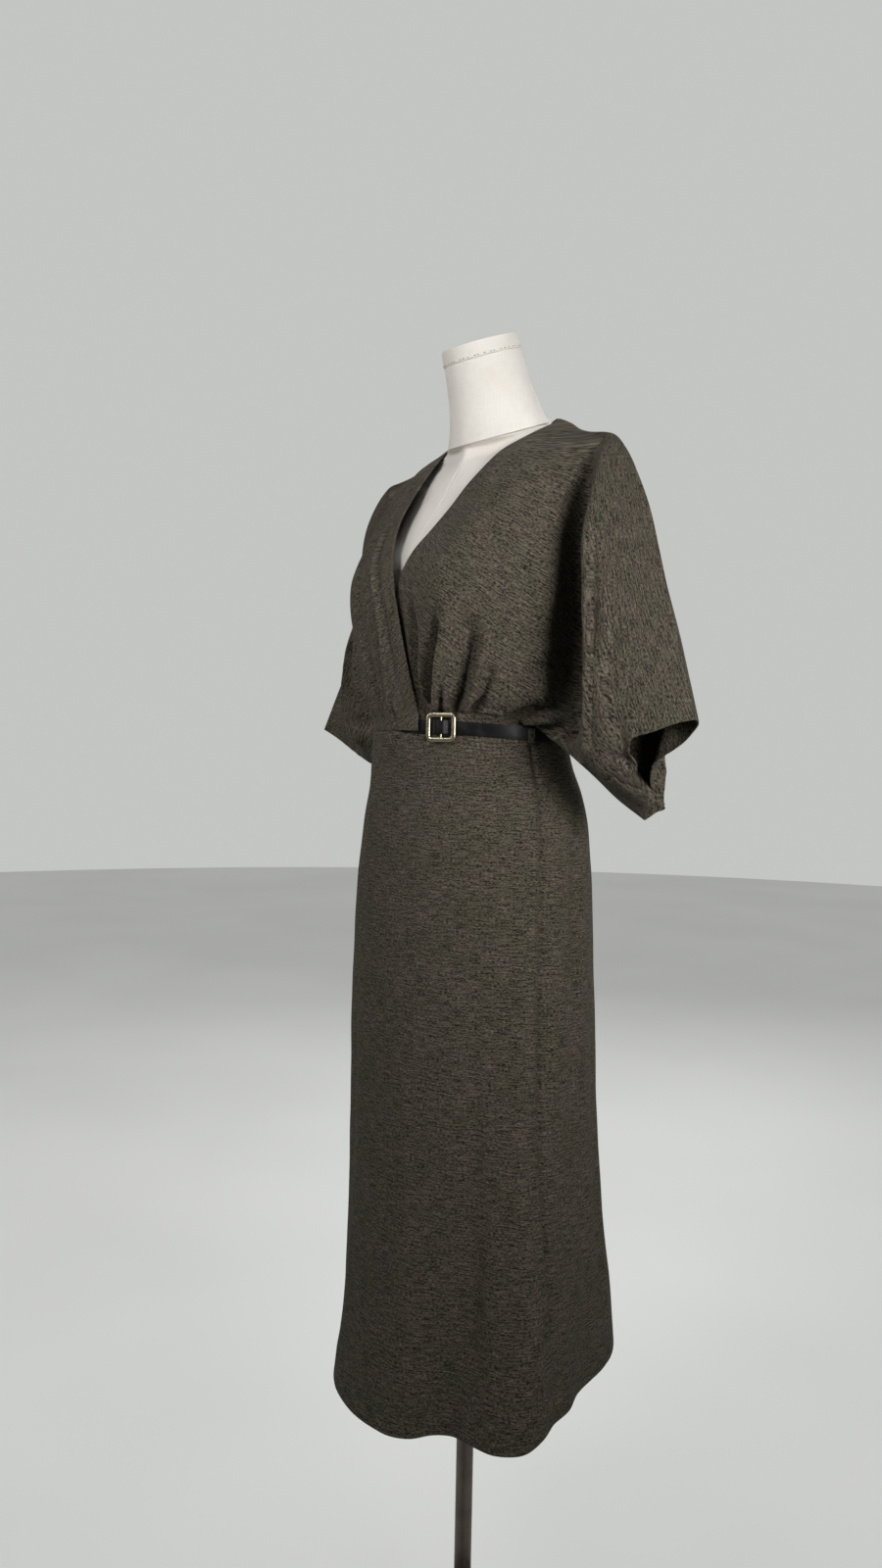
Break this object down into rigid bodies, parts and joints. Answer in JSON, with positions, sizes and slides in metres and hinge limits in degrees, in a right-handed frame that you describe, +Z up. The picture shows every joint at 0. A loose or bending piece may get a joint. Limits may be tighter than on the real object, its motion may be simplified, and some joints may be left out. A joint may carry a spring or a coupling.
{
  "type": "belted surplice-wrap midi dress on a limbless dress form",
  "caption": "Midi dress with a surplice-wrap bodice, kimono sleeves and a narrow leather belt, worn by a limbless dress form on a round-based pole stand.",
  "frame": {"origin": "centre of the base plate's underside, on the pole's axis", "axes": "+Z up, -Y the dress's front, +X the wearer's left"},
  "size_m": [0.7101, 0.3415, 1.7373],
  "materials": {
    "dress_cloth": "matt heathered olive-brown knit with fine slubs",
    "belt_leather": "smooth glossy black leather",
    "buckle_brass": "polished pale gold",
    "form_linen": "stretched cream linen",
    "stand_tube": "dark polished tube",
    "stand_plate": "satin black"
  },
  "bodies": {
    "root": {"skirt_front": "dress_cloth", "skirt_back": "dress_cloth", "bodice_front_left": "dress_cloth", "bodice_front_right": "dress_cloth", "bodice_back": "dress_cloth", "belt_loop_left": "dress_cloth", "belt_strap": "belt_leather", "buckle_frame": "buckle_brass", "form_torso": "form_linen", "form_neck": "form_linen", "form_neck_band": "form_linen", "stand_collar": "stand_plate", "stand_pole": "stand_tube", "stand_base": "stand_plate"}
  },
  "joints": []
}
